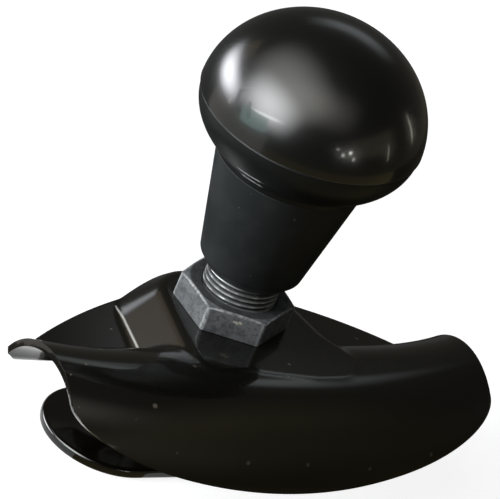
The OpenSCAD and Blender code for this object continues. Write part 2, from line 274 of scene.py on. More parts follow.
def facing_knob(azimuth, rise, distance, tilt):
    """The place of a card that faces the knob, tilted in its own plane."""
    facing = bearing(azimuth, rise).to_track_quat("Z", "Y").to_matrix().to_4x4()
    return (Matrix.Translation(middle + bearing(azimuth, rise) * distance) @ facing
            @ Matrix.Rotation(math.radians(tilt), 4, "Z"))


def half_sides(width, height, distance):
    """Half a card's width and height in metres, from its degrees as seen from the knob."""
    return [distance * math.tan(math.radians(side / 2)) for side in (width, height)]


def card(name, azimuth, rise, width, height, colour, soft, tilt=0.0, distance=0.8):
    """A glowing card that faces the knob, its width and height in degrees, faded at its rim."""
    material, tree, light, end = glowing(name, colour)
    half = half_sides(width, height, distance)
    place = tree.nodes.new("ShaderNodeTexCoord")
    parts = tree.nodes.new("ShaderNodeSeparateXYZ")
    tree.links.new(place.outputs["Object"], parts.inputs[0])
    fade = None
    for axis in (0, 1):
        inside = (half[axis] - Term(tree, parts.outputs[axis]).size()) / (half[axis] * soft)
        inside = inside.held()
        inside = inside * inside * (3.0 - inside * 2.0)
        fade = inside if fade is None else fade * inside
    clear = tree.nodes.new("ShaderNodeBsdfTransparent")
    both = tree.nodes.new("ShaderNodeAddShader")
    link_all(
        tree,
        (fade.socket, light.inputs["Strength"]),
        (light.outputs[0], both.inputs[0]),
        (clear.outputs[0], both.inputs[1]),
        (both.outputs[0], end.inputs[0]))
    gloss_only(staged(name, rectangle(name, *half), material, facing_knob(azimuth, rise, distance, tilt)))


# Dark cloths: a tent over the set and cloths on the table outside the white round
# on which the clamp stands. The board before the skirt is brown.
TENT_R = 1.4
CLOTH_LIFT = 0.0004
tent = bmesh.new()
bmesh.ops.create_uvsphere(tent, u_segments=48, v_segments=24, radius=TENT_R)
for face in list(tent.faces):
    if face.calc_center_median().z < 0:
        tent.faces.remove(face)
tent_mesh = bpy.data.meshes.new("tent")
tent.to_mesh(tent_mesh)
tent.free()
gloss_only(staged("tent", tent_mesh, glowing("tent_cloth", (0.066, 0.063, 0.054))[0]))


def cloth(name, start, end, near, far, colour):
    """A flat cloth on the table, between two bearings in degrees and two distances."""
    turns = [start + (end - start) * k / 24 for k in range(25)]
    outline = [bearing(a, 0) * far for a in turns] + [bearing(a, 0) * near for a in reversed(turns)]
    mesh = flat_mesh(name, [corner + Vector((0, 0, CLOTH_LIFT)) for corner in outline])
    gloss_only(staged(name, mesh, glowing(name, colour)[0]))


cloth("brown_board", -70, 62, 0.036, 0.34, (0.24, 0.20, 0.11))
cloth("front_cloth", -70, 125, 0.34, TENT_R, (0.085, 0.080, 0.060))
cloth("right_cloth", 62, 125, 0.050, 0.34, (0.030, 0.028, 0.022))
cloth("rear_cloth", 125, 214, 0.050, TENT_R, (0.075, 0.075, 0.072))
cloth("left_shade", -146, -70, 0.070, 0.115, (0.050, 0.045, 0.040))
cloth("left_cloth", -146, -70, 0.115, TENT_R, (0.72, 0.69, 0.64))

card("window", -88, 27, 80, 58, (13.5, 13.8, 14.0), 1.0)
card("window_end", -142, 7, 66, 28, (20.0, 20.4, 21.4), 0.98)
card("window_halo", -92, 56, 100, 76, (3.2, 3.2, 3.1), 1.0)
card("warm_wall", -158, 25, 22, 13, (0.40, 0.30, 0.17), 0.4)
card("room_glow", -34, 56, 84, 56, (1.2, 1.15, 1.05), 1.0)
card("sky_behind", 136, 36, 44, 20, (0.62, 0.68, 0.70), 0.8, distance=0.25)
card("garden_edge", -82, 17, 44, 5, (12.0, 12.4, 12.2), 0.7, 18)
card("garden_post", -122, -8, 4, 24, (6.5, 5.6, 5.2), 0.7)


def screen(name, azimuth, rise, width, height, colour, tilt=0.0, distance=0.7):
    """A dim screen that hides what is behind it, for the dark parts of the window."""
    mesh = rectangle(name, *half_sides(width, height, distance))
    gloss_only(staged(name, mesh, glowing(name, colour)[0], facing_knob(azimuth, rise, distance, tilt)))


screen("garden", -90, 5, 30, 17, (2.3, 3.3, 3.1), 14)
screen("curtain", -116, 7, 5, 20, (0.7, 0.8, 0.8), 24)
screen("tree", -99, 9, 4, 16, (0.9, 1.3, 1.1), 30, 0.69)
BOTTLES = ((2, 9, 7, 16.0), (9, 12, 6, 28.0), (13, 5, 6, 12.0), (-4, 15, 4, 10.0))
for azimuth, rise, height, strength in BOTTLES:
    glint = (strength, strength, 0.95 * strength)
    card("bottle_" + str(azimuth + 10), azimuth, rise, 4.5, height, glint, 0.8)
card("shelf", 32, 16, 60, 26, (0.30, 0.26, 0.18), 0.5)
for azimuth, rise, width, height in ((64, -6, 36, 3.0), (82, 8, 3.5, 26), (50, 5, 2.5, 20)):
    card("frame_" + str(azimuth), azimuth, rise, width, height, (4.0, 3.8, 3.1), 0.7)


# Upper clamp plate: one piece of 2 mm steel pressed to an arch over the rim, with
# a wing behind and a raised flat for the nut, then stoved in black enamel. Its
# surface follows the section rule, so a node tree bends it from a flat grid.
def pick(test, yes, no):
    """yes where test is 1, no where it is 0."""
    return no + test * (yes - no)


def shape_tree(name, sizes):
    """A geometry node tree with one named input for each size, and those inputs as terms."""
    tree = bpy.data.node_groups.new(name, "GeometryNodeTree")
    for label, value in sizes.items():
        socket = tree.interface.new_socket(label, in_out="INPUT", socket_type="NodeSocketFloat")
        socket.default_value = value
    tree.interface.new_socket("Material", in_out="INPUT", socket_type="NodeSocketMaterial")
    tree.interface.new_socket("Geometry", in_out="OUTPUT", socket_type="NodeSocketGeometry")
    start = tree.nodes.new("NodeGroupInput")
    return tree, start, {label: Term(tree, start.outputs[label]) for label in sizes}


def grid_in(tree, columns, rows):
    """A unit grid, and its two coordinates from 0 to 1 as terms."""
    grid = tree.nodes.new("GeometryNodeMeshGrid")
    grid.inputs["Vertices X"].default_value = columns
    grid.inputs["Vertices Y"].default_value = rows
    place = tree.nodes.new("GeometryNodeInputPosition")
    parts = tree.nodes.new("ShaderNodeSeparateXYZ")
    tree.links.new(place.outputs[0], parts.inputs[0])
    return grid, Term(tree, parts.outputs["X"]) + 0.5, Term(tree, parts.outputs["Y"]) + 0.5


WELD = 1e-7


def finish_tree(tree, start, mesh, x, y, z):
    """Moves the grid's points to x, y, z in millimetres and closes the tree."""
    point = tree.nodes.new("ShaderNodeCombineXYZ")
    scale = tree.nodes.new("ShaderNodeVectorMath")
    scale.operation = "SCALE"
    scale.inputs["Scale"].default_value = MM
    move = tree.nodes.new("GeometryNodeSetPosition")
    weld = tree.nodes.new("GeometryNodeMergeByDistance")
    weld.inputs["Distance"].default_value = WELD
    solid = tree.nodes.new("GeometryNodeRealizeInstances")
    paint = tree.nodes.new("GeometryNodeSetMaterial")
    end = tree.nodes.new("NodeGroupOutput")
    link_all(
        tree,
        (x.socket, point.inputs[0]),
        (y.socket, point.inputs[1]),
        (z.socket, point.inputs[2]),
        (point.outputs[0], scale.inputs[0]),
        (mesh, move.inputs["Geometry"]),
        (scale.outputs[0], move.inputs["Position"]),
        (move.outputs[0], weld.inputs["Geometry"]),
        (weld.outputs[0], solid.inputs[0]),
        (solid.outputs[0], paint.inputs["Geometry"]),
        (start.outputs["Material"], paint.inputs["Material"]),
        (paint.outputs[0], end.inputs[0]))


def made_by(name, tree, material, modifiers=()):
    """The tree's result as an object with a plain mesh, after some more modifiers."""
    maker = bpy.data.objects.new(name + "_maker", bpy.data.meshes.new(name + "_maker"))
    bpy.context.scene.collection.objects.link(maker)
    nodes_in = maker.modifiers.new("shape", "NODES")
    nodes_in.node_group = tree
    for item in tree.interface.items_tree:
        if item.in_out == "INPUT" and item.name == "Material":
            nodes_in[item.identifier] = material
    for kind, settings in modifiers:
        modifier = maker.modifiers.new(kind.lower(), kind)
        for key, value in settings.items():
            setattr(modifier, key, value)
    graph = bpy.context.evaluated_depsgraph_get()
    mesh = bpy.data.meshes.new_from_object(maker.evaluated_get(graph))
    bpy.data.objects.remove(maker)
    mesh.name = name
    mesh.set_sharp_from_angle(angle=math.radians(35))
    piece = bpy.data.objects.new(name, mesh)
    bpy.context.scene.collection.objects.link(piece)
    return piece


def shader_group(name, inputs, outputs):
    """An empty shader node group with float inputs and outputs, and its two end nodes."""
    group = bpy.data.node_groups.new(name, "ShaderNodeTree")
    for label, value in inputs.items():
        kind = "NodeSocketVector" if label == "Vector" else "NodeSocketFloat"
        socket = group.interface.new_socket(label, in_out="INPUT", socket_type=kind)
        if value is not None:
            socket.default_value = value
    for label in outputs:
        group.interface.new_socket(label, in_out="OUTPUT", socket_type="NodeSocketFloat")
    return group, group.nodes.new("NodeGroupInput"), group.nodes.new("NodeGroupOutput")


# Dust: small pale specks, scattered by the cells of a noise.
dust, dust_in, dust_out = shader_group(
    "dust", {"Vector": None, "Scale": 900.0, "Share": 0.06, "Seed": 0.0}, ["Mask"])
cells = dust.nodes.new("ShaderNodeTexVoronoi")
cells.voronoi_dimensions = "4D"
tint = dust.nodes.new("ShaderNodeSeparateColor")
link_all(
    dust,
    (dust_in.outputs["Vector"], cells.inputs["Vector"]),
    (dust_in.outputs["Scale"], cells.inputs["Scale"]),
    (dust_in.outputs["Seed"], cells.inputs["W"]),
    (cells.outputs["Color"], tint.inputs[0]))
chosen = Term(dust, tint.outputs[0]).below(Term(dust, dust_in.outputs["Share"]))
speck_size = Term(dust, tint.outputs[1]) * 0.22 + 0.08
speck = (1.0 - Term(dust, cells.outputs["Distance"]) / speck_size).high(0.0)
link_all(dust, ((chosen * speck.power(0.5)).socket, dust_out.inputs["Mask"]))

# Scratches: short straight lines, one in each chosen cell, tapered at both ends.
scratches, scratches_in, scratches_out = shader_group(
    "scratches", {"Vector": None, "Scale": 60.0, "Share": 0.3, "Width": 0.00004, "Seed": 0.0}, ["Mask"])
marks = None
for layer in (0.0, 17.3):
    field = scratches.nodes.new("ShaderNodeTexVoronoi")
    field.voronoi_dimensions = "4D"
    own_place = scratches.nodes.new("ShaderNodeVectorMath")
    own_place.operation = "SUBTRACT"
    lean = scratches.nodes.new("ShaderNodeVectorMath")
    lean.operation = "SUBTRACT"
    lean.inputs[1].default_value = (0.5, 0.5, 0.5)
    unit = scratches.nodes.new("ShaderNodeVectorMath")
    unit.operation = "NORMALIZE"
    across_line = scratches.nodes.new("ShaderNodeVectorMath")
    across_line.operation = "DOT_PRODUCT"
    draw = scratches.nodes.new("ShaderNodeSeparateColor")
    link_all(
        scratches,
        (scratches_in.outputs["Vector"], field.inputs["Vector"]),
        (scratches_in.outputs["Scale"], field.inputs["Scale"]),
        ((Term(scratches, scratches_in.outputs["Seed"]) + layer).socket, field.inputs["W"]),
        (scratches_in.outputs["Vector"], own_place.inputs[0]),
        (field.outputs["Position"], own_place.inputs[1]),
        (field.outputs["Color"], lean.inputs[0]),
        (field.outputs["Color"], draw.inputs[0]),
        (lean.outputs[0], unit.inputs[0]),
        (unit.outputs[0], across_line.inputs[0]),
        (own_place.outputs[0], across_line.inputs[1]))
    off_line = Term(scratches, across_line.outputs["Value"]).size()
    on_line = (1.0 - off_line / Term(scratches, scratches_in.outputs["Width"])).high(0.0)
    taper = (1.0 - Term(scratches, field.outputs["Distance"]) * 1.6).high(0.0)
    chosen = Term(scratches, draw.outputs[0]).below(Term(scratches, scratches_in.outputs["Share"]))
    scratch = on_line * taper * chosen
    marks = scratch if marks is None else marks.high(scratch)
link_all(scratches, (marks.socket, scratches_out.inputs["Mask"]))


class Paint:
    """A material under way: one Principled shader fed by masks on Object coordinates."""

    def __init__(self, name, colour, roughness, **fixed):
        self.material = bpy.data.materials.new(name)
        self.material.use_nodes = True
        self.tree = self.material.node_tree
        self.shader = self.tree.nodes["Principled BSDF"]
        self.shader.inputs["Roughness"].default_value = roughness
        self.shader.inputs["Base Color"].default_value = (*colour, 1.0)
        for socket, value in fixed.items():
            self.shader.inputs[socket.replace("_", " ")].default_value = value
        self.place = self.tree.nodes.new("ShaderNodeTexCoord").outputs["Object"]
        self.colour = None
        self.rough = None
        self.bump = None

    def place_mm(self):
        """The three coordinates of a point on the piece, in millimetres."""
        parts = self.tree.nodes.new("ShaderNodeSeparateXYZ")
        self.tree.links.new(self.place, parts.inputs[0])
        return [Term(self.tree, axis) / MM for axis in parts.outputs]

    def group(self, group, **values):
        node = self.tree.nodes.new("ShaderNodeGroup")
        node.node_tree = group
        self.tree.links.new(self.place, node.inputs["Vector"])
        for label, value in values.items():
            node.inputs[label].default_value = value
        return Term(self.tree, node.outputs[0])

    def noise(self, scale, detail=3.0, roughness=0.5, stretch=(1, 1, 1)):
        node = self.tree.nodes.new("ShaderNodeTexNoise")
        node.inputs["Scale"].default_value = scale
        node.inputs["Detail"].default_value = detail
        node.inputs["Roughness"].default_value = roughness
        mapped = self.tree.nodes.new("ShaderNodeMapping")
        mapped.inputs["Scale"].default_value = stretch
        link_all(self.tree, (self.place, mapped.inputs[0]), (mapped.outputs[0], node.inputs["Vector"]))
        return Term(self.tree, node.outputs[0])

    def tone(self, mask, colour):
        """Lays a colour over what is there, where the mask is 1."""
        blend = self.tree.nodes.new("ShaderNodeMix")
        blend.data_type = "RGBA"
        blend.inputs[7].default_value = (*colour, 1.0)
        if self.colour is None:
            blend.inputs[6].default_value = self.shader.inputs["Base Color"].default_value
        else:
            self.tree.links.new(self.colour, blend.inputs[6])
        self.tree.links.new(mask.socket, blend.inputs[0])
        self.colour = blend.outputs[2]

    def roughen(self, term):
        if self.rough is None:
            self.rough = term + self.shader.inputs["Roughness"].default_value
        else:
            self.rough = self.rough + term

    def coated(self, term):
        """How much of the clear top coat is left over the colour."""
        self.tree.links.new(term.socket, self.shader.inputs["Coat Weight"])

    def relief(self, term):
        self.bump = term if self.bump is None else self.bump + term

    def done(self, depth=0.00002):
        """Joins colour, roughness and relief to the shader and gives the material."""
        if self.colour is not None:
            self.tree.links.new(self.colour, self.shader.inputs["Base Color"])
        if self.rough is not None:
            self.tree.links.new(self.rough.high(0.03).low(1.0).socket, self.shader.inputs["Roughness"])
        if self.bump is not None:
            node = self.tree.nodes.new("ShaderNodeBump")
            node.inputs["Distance"].default_value = depth
            link_all(
                self.tree,
                (self.bump.socket, node.inputs["Height"]),
                (node.outputs[0], self.shader.inputs["Normal"]))
        return self.material


SHEET = 2.0
SADDLE = {
    "Half length": 65.0, "Wheel radius": 200.0, "Arch radius": 21.2, "Arch reach": 28.3,
    "Crest drop": 0.2, "Crest width": 7.0, "Rear reach": 20.6, "Rear radius": 100.0,
    "Flange drop": 6.8, "Flange fall": 7.8, "Corner curl": 1.0, "Flange fillet": 5.0,
    "Skirt at ends": 14.6, "Skirt at middle": 18.4, "Flare start": math.radians(82.0),
    "Flare radius": 9.0, "Seat half": 17.2, "Seat rear": 15.8, "Seat front": 24.0,
    "Seat taper": 0.2, "Seat corner": 7.0, "Wall slope": math.radians(45.0),
    "Seat edge": 4.4, "Blend": 0.4, "Far blend": 4.5, "Shift": 2.0, "Seat height": SEAT_Z / MM}
saddle_tree, saddle_start, part = shape_tree("pressed_saddle", SADDLE)
grid, across, along = grid_in(saddle_tree, 230, 140)
x = part["Half length"] * ((across - 0.5) * math.pi).sin()
t = (x.size() / part["Half length"]).low(1.0)
bow = x * x / (2.0 * part["Wheel radius"])
crest = part["Crest width"] * (t * (math.pi / 2)).cos().power(2.0)
wing = -(part["Flange drop"] + part["Flange fall"] * t + part["Corner curl"] * t.power(6.0))
centre = -(part["Crest drop"] + part["Arch radius"])
both = part["Arch radius"] + part["Flange fillet"]
bend = ((wing - centre + part["Flange fillet"]) / both).op("ARCCOSINE")
flat_y = crest - part["Arch reach"] + both * bend.sin()
arc_end = crest + part["Arch radius"] * bend
flat_start = arc_end + part["Flange fillet"] * bend
rear = flat_start + part["Rear reach"] - x * x / (2.0 * part["Rear radius"]) - bow - flat_y
hem = -(part["Skirt at ends"] + part["Skirt at middle"] * (1.0 - t * t).high(0.0).root())
s = hem + (rear - hem) * along
turned = (s.low(0.0) + (s - crest).high(0.0)) / part["Arch radius"]
arch_y = s.held(crest) - part["Arch reach"] + part["Arch radius"] * turned.sin()
arch_z = centre + part["Arch radius"] * turned.cos()
rise = (flat_start - s).high(0.0) / part["Flange fillet"]
wing_y = flat_y + (s - flat_start).high(0.0) - part["Flange fillet"] * rise.sin()
wing_z = wing + part["Flange fillet"] * (1.0 - rise.cos())
flare_len = -(part["Arch radius"] * part["Flare start"])
swing = part["Flare start"] - (flare_len - s) / part["Flare radius"]
outer = part["Arch radius"] + part["Flare radius"]
flare_y = part["Flare radius"] * swing.sin() - part["Arch reach"] - outer * part["Flare start"].sin()
flare_z = centre + outer * part["Flare start"].cos() - part["Flare radius"] * swing.cos()
in_flare, in_arch = s.below(flare_len), s.below(arc_end)
y = pick(in_flare, flare_y, pick(in_arch, arch_y, wing_y)) + bow
z = pick(in_flare, flare_z, pick(in_arch, arch_z, wing_z))
over_x = (x.size() - part["Seat half"] + part["Seat taper"] * y + part["Seat corner"]).high(0.0)
seat_mid = (part["Seat rear"] - part["Seat front"]) * 0.5
seat_span = (part["Seat rear"] + part["Seat front"]) * 0.5 - part["Seat corner"]
over_y = ((y - seat_mid).size() - seat_span).high(0.0)
away = (over_x * over_x + over_y * over_y).root() - part["Seat corner"]
run = part["Seat edge"] * part["Wall slope"].sin()
round_part = away.held(run)
wall = (away - run).high(0.0) * part["Wall slope"].op("TANGENT")
seat = (part["Seat edge"] * part["Seat edge"] - round_part * round_part).root() - part["Seat edge"] - wall
far_side = ((x + 8.0) / 18.0).held()
blend = part["Blend"] + (part["Far blend"] - part["Blend"]) * far_side
near = ((blend - (z - seat).size()).high(0.0)) / blend
blended = (z.high(seat) + near * near * blend * 0.25).low(0.0)
z = pick(s.below(part["Arch radius"] * (-math.pi / 4)), z, blended) + part["Seat height"]
finish_tree(saddle_tree, saddle_start, grid.outputs["Mesh"], x + part["Shift"], y, z)

CREASE_X, CREASE_SLOPE, CREASE_HALF = 26.07, 0.192, 0.32
CREASE_FRONT, CREASE_BACK = -4.2, 15.6
SKIRT_TOP, SKIRT_FADE = -34.5, 6.0
enamel = Paint(
    "saddle_enamel", (0.0060, 0.0056, 0.0042), 0.28, Specular_IOR_Level=0.10, Coat_Roughness=0.08)
plate_x, plate_y = enamel.place_mm()[:2]
# The lower skirt is toned brown: a painted reflection of a brown table. There it is also rougher and has
# no clear coat.
skirt = ((SKIRT_TOP - plate_y) / SKIRT_FADE).held()
enamel.tone(skirt * 0.95, (0.0260, 0.0225, 0.0122))
enamel.tone(enamel.group(dust, Scale=340.0, Share=0.22, Seed=3.0) * 0.7, (0.26, 0.23, 0.18))
# A thin pale line along the wall's foot crease is a painted highlight, patchy by a noise.
crease_end = ((plate_y - CREASE_FRONT) * (CREASE_BACK - plate_y) * 0.3).held()
crease_highlight = (1.0 - (plate_x + CREASE_X - plate_y * CREASE_SLOPE).size() / CREASE_HALF).high(0.0)
enamel.tone(crease_highlight * crease_end * (enamel.noise(600.0) * 0.8 + 0.6).low(1.0), (0.62, 0.60, 0.56))
enamel.roughen((enamel.noise(35.0) - 0.5) * 0.10 + skirt * 0.15)
enamel.coated(0.85 - skirt * 0.85)
enamel.roughen(enamel.group(scratches, Scale=95.0, Share=0.35, Seed=1.0) * 0.3)
enamel.relief((enamel.noise(300.0, 2.0) - 0.5) * 0.15)
saddle_paint = enamel.done()

HOLE = 20.8
bpy.ops.mesh.primitive_cylinder_add(
    vertices=128, radius=HOLE / 2 * MM, depth=4 * SHEET * MM, location=(0, 0, SEAT_Z - SHEET / 2 * MM))
punch = bpy.context.object
saddle = made_by("saddle", saddle_tree, saddle_paint, (
    ("SOLIDIFY", {"thickness": SHEET * MM, "offset": -1.0, "use_even_offset": True}),
    ("BOOLEAN", {"operation": "DIFFERENCE", "object": punch, "solver": "EXACT"}),
    ("BEVEL", {"width": 0.5 * MM, "segments": 3, "limit_method": "ANGLE",
               "angle_limit": math.radians(50), "harden_normals": False})))
bpy.data.objects.remove(punch)
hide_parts("upper_clamp_plate")
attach(saddle, "saddle")


# Lower clamp plate: a flat oval of 3 mm steel with rolled edges, enamelled black.
# The stud's foot is riveted into it from below.
def rounded(corners, steps=4):
    """An outline of (across, height) points from corners (across, height, radius)."""
    points = []
    for i, (a, z, radius) in enumerate(corners):
        here = Vector((a, z))
        if radius == 0 or i in (0, len(corners) - 1):
            points.append(here)
            continue
        back = (Vector(corners[i - 1][:2]) - here).normalized()
        ahead = (Vector(corners[i + 1][:2]) - here).normalized()
        half = math.acos(max(-1.0, min(1.0, back.dot(ahead)))) / 2
        middle = here + (back + ahead).normalized() * radius / math.sin(half)
        start = here + back * radius / math.tan(half) - middle
        swing = math.pi - 2 * half
        side = 1 if back.x * ahead.y - back.y * ahead.x < 0 else -1
        for k in range(steps + 1):
            angle = side * swing * k / steps
            points.append(middle + Vector((
                start.x * math.cos(angle) - start.y * math.sin(angle),
                start.x * math.sin(angle) + start.y * math.cos(angle))))
    return points


def skin(name, rings, material, closed=True):
    """A closed mesh over rings of points in mm; a ring of one point is a pole."""
    points, starts = [], []
    for ring in rings:
        starts.append(len(points))
        points += [Vector(p) * MM for p in ring]
    faces = []
    pairs = list(zip(range(len(rings) - 1), range(1, len(rings))))
    if closed and len(rings[0]) > 1:
        pairs.append((len(rings) - 1, 0))
    for i, j in pairs:
        a, b, n = starts[i], starts[j], max(len(rings[i]), len(rings[j]))
        for k in range(n):
            m = (k + 1) % n
            if len(rings[i]) == 1:
                faces.append((a, b + m, b + k))
            elif len(rings[j]) == 1:
                faces.append((a + k, a + m, b))
            else:
                faces.append((a + k, a + m, b + m, b + k))
    mesh = bpy.data.meshes.new(name)
    mesh.from_pydata(points, [], faces)
    mesh.materials.append(material)
    mesh.shade_smooth()
    mesh.set_sharp_from_angle(angle=math.radians(32))
    piece = bpy.data.objects.new(name, mesh)
    bpy.context.scene.collection.objects.link(piece)
    return piece


def lathed(name, outline, material, around=192):
    """A round piece: an outline of (radius, height) points in mm, turned about the stud."""
    rings = []
    for radius, z in outline:
        turns = [2 * math.pi * k / around for k in range(around)]
        full = [(radius * math.cos(a), radius * math.sin(a), z) for a in turns]
        rings.append(full if radius > 1e-6 else [(0.0, 0.0, z)])
    return skin(name, rings, material)


def as_one(name, first, *others):
    """Joins pieces of one material into the first."""
    joined = bmesh.new()
    for piece in (first, *others):
        joined.from_mesh(piece.data)
    joined.to_mesh(first.data)
    joined.free()
    for piece in others:
        bpy.data.objects.remove(piece)
    first.name = name
    return first


PLATE_LENGTH, PLATE_WIDTH = 96.0, 36.4
PLATE_EDGE = 1.1
plate_low, plate_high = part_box("lower_clamp_plate")
plate_middle = (plate_low + plate_high) / (2 * MM)
plate_thick = (plate_high.z - plate_low.z) / MM
RIVET_R, RIVET_FLARE, RIVET_DEPTH = 7.5, 1.08, 1.35

lower_enamel = Paint("plate_enamel", (0.0042, 0.0034, 0.0026), 0.09, Specular_IOR_Level=0.5)
lower_enamel.tone(lower_enamel.group(dust, Scale=600.0, Share=0.03, Seed=6.0) * 0.3, (0.12, 0.12, 0.10))
lower_enamel.roughen((lower_enamel.noise(40.0) - 0.5) * 0.08)
lower_enamel.roughen(lower_enamel.group(scratches, Scale=90.0, Share=0.3, Seed=2.0) * 0.3)
plate_paint = lower_enamel.done()

half_plate = PLATE_WIDTH / 2
straight = (PLATE_LENGTH - PLATE_WIDTH) / 2
edge = rounded([
    (0, 0, 0), (half_plate, 0, PLATE_EDGE), (half_plate, plate_thick, PLATE_EDGE), (0, plate_thick, 0)], 6)
hole = [(RIVET_R, plate_thick), (RIVET_R, RIVET_DEPTH), (RIVET_R + RIVET_FLARE, 0)]
plate_rings = []
TURNS = 160
for across_plate, z in edge[1:-1]:
    ring = []
    for k in range(TURNS):
        a = 2 * math.pi * (k + 0.5) / TURNS
        side = straight if math.cos(a) > 0 else -straight
        ring.append((
            plate_middle.x + side + across_plate * math.cos(a),
            plate_middle.y + across_plate * math.sin(a), z))
    plate_rings.append(ring)
for radius, z in hole:
    ring = []
    for k in range(TURNS):
        x0, y0, _ = plate_rings[0][k]
        a = math.atan2(y0, x0)
        ring.append((radius * math.cos(a), radius * math.sin(a), z))
    plate_rings.append(ring)
lower_plate = skin("lower_plate", plate_rings, plate_paint)
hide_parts("lower_clamp_plate")
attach(lower_plate, "stud_unit")


# Stud: turned steel bar, threaded M20 for the lock nut over the clamp's height, with
# a journal for the bush, a seat for the bearing and an M10 end inside the head.
PITCH = 1.5
THREAD_R, ROOT_R = 10.0, 9.1
JOURNAL_R, SEAT_R, END_R = 7.0, 6.0, 5.0
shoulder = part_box("dust_seal")[0].z / MM - 0.3
bearing_low, bearing_high = (corner.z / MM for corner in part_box("bearing_outer_race"))
stud_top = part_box("pillar_stud")[1].z / MM
THREAD = {
    "Bottom": plate_thick + 0.02, "Top": shoulder, "Core": ROOT_R - 0.2, "Root": ROOT_R,
    "Crest": THREAD_R, "Pitch": PITCH, "Lead in": 1.2}
thread_tree, thread_start, part = shape_tree("stud_thread", THREAD)
grid, around, along = grid_in(thread_tree, 97, 420)
angle = around * (2 * math.pi)
z = part["Bottom"] + (part["Top"] - part["Bottom"]) * along
phase = (z / part["Pitch"] - around).op("FRACT")
rise = 1.0 - (phase - 0.5).size() * 2.0
ridge = ((rise - 0.14) * 1.5).held()
from_end = (part["Top"] - z).low(z - part["Bottom"]) / part["Lead in"]
crest_r = part["Root"] + (part["Crest"] - part["Root"]) * from_end.low(1.0)
radius = (part["Root"] + (part["Crest"] - part["Root"]) * ridge).low(crest_r)
radius = pick(along.below(1e-4), 0.0, pick((1.0 - along).below(1e-4), 0.0, radius))
finish_tree(thread_tree, thread_start, grid.outputs["Mesh"], radius * angle.cos(), radius * angle.sin(), z)

steel = Paint("stud_steel_worn", (0.30, 0.31, 0.32), 0.34, Metallic=0.5)
stud_x, stud_y = steel.place_mm()[:2]
depth = ((THREAD_R - (stud_x * stud_x + stud_y * stud_y).root()) / (THREAD_R - ROOT_R)).held()
# The thread's roots are painted dark: painted shade in the grooves.
steel.tone((depth * 1.6).low(1.0) * 0.93, (0.016, 0.017, 0.017))
patches = (steel.noise(500.0, 3.0, stretch=(1, 1, 0.25)) * 3.0 - 1.2).held()
steel.tone((1.0 - depth / 0.22).high(0.0) * patches, (0.85, 0.87, 0.88))
steel.tone(steel.group(scratches, Scale=380.0, Share=0.5, Width=0.00005, Seed=9.0), (0.75, 0.77, 0.78))
steel.roughen((steel.noise(300.0) - 0.5) * 0.25 + depth * 0.25)
steel.relief(steel.group(scratches, Scale=320.0, Share=0.6, Width=0.00005) * -0.6)
steel.relief(steel.noise(1100.0, 3.0) * 1.4)
stud_paint = steel.done()

core_r = ROOT_R - 0.1
stud_core = lathed("stud_core", rounded([
    (0, 0, 0), (RIVET_R + RIVET_FLARE, 0, 0), (RIVET_R, RIVET_DEPTH, 0), (RIVET_R, plate_thick, 0),
    (core_r, plate_thick, 0), (core_r, shoulder, 0), (JOURNAL_R, shoulder, 0),
    (JOURNAL_R, bearing_low, 0.2), (SEAT_R, bearing_low, 0), (SEAT_R, bearing_high - 0.3, 0.2),
    (END_R, bearing_high - 0.3, 0), (END_R, stud_top, 0.8), (0, stud_top, 0)]), stud_paint, 128)
thread = made_by("thread", thread_tree, stud_paint)
stud = as_one("stud", stud_core, thread)
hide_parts("pillar_stud")
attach(stud, "stud_unit")


# Lock nut: a thin M20 hexagon, 27 mm across the flats, with its top corners turned
# off. It draws the two plates on to the rim, and its top edges and corners carry a painted highlight.
NUT_FLATS, NUT_TURN = 27.0, math.radians(30.0)
NUT_FACE, NUT_BREAK, NUT_SLOPE, CORNER_R = 0.97, 0.28, math.radians(15.0), 0.7
EDGE_REACH, CORNER_REACH = 12.95, 15.1
CHIP, CHIP_R, CHIP_FLATNESS = (-6.1, -12.1, 40.7), 1.9, 2.2
nut_low, nut_high = (corner.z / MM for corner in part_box("lock_nut"))


def hexagon_reach(angle, flats, corner):
    """Distance of a hexagon's outline from its middle, with rounded corners."""
    off_corner = (angle + math.pi / 6) % (math.pi / 3) - math.pi / 6
    off_flat = math.pi / 6 - abs(off_corner)
    straight_end = (flats / 2 - corner) * math.tan(math.pi / 6)
    reach = flats / 2 / math.cos(off_flat)
    if reach * math.sin(off_flat) <= straight_end:
        return reach
    middle = (flats / 2 - corner) / math.cos(math.pi / 6)
    return middle * math.cos(off_corner) + math.sqrt(
        corner ** 2 - (middle * math.sin(off_corner)) ** 2)


def hexagon_nut(name, flats, low, high, bore, material, face, edge_break, turn, columns=240):
    """A hexagon nut with its top corners turned off and all edges broken."""
    columns_of_points = []
    for k in range(columns):
        angle = 2 * math.pi * k / columns
        reach = hexagon_reach(angle, flats, CORNER_R)
        face_r = flats / 2 * face
        shoulder_z = high - (reach - face_r) * math.tan(NUT_SLOPE)
        side = rounded([
            (bore + 0.5, low, 0), (reach, low, edge_break), (reach, shoulder_z, edge_break * 0.7),
            (face_r, high, 0.3), (bore + 0.6, high, 0.15), (bore, high - 0.6, 0.1),
            (bore, low + 0.5, 0.1), (bore + 0.5, low, 0)], 3)[:-1]
        place = angle + turn
        columns_of_points.append([(r * math.cos(place), r * math.sin(place), z) for r, z in side])
    return skin(name, list(zip(*columns_of_points)), material)


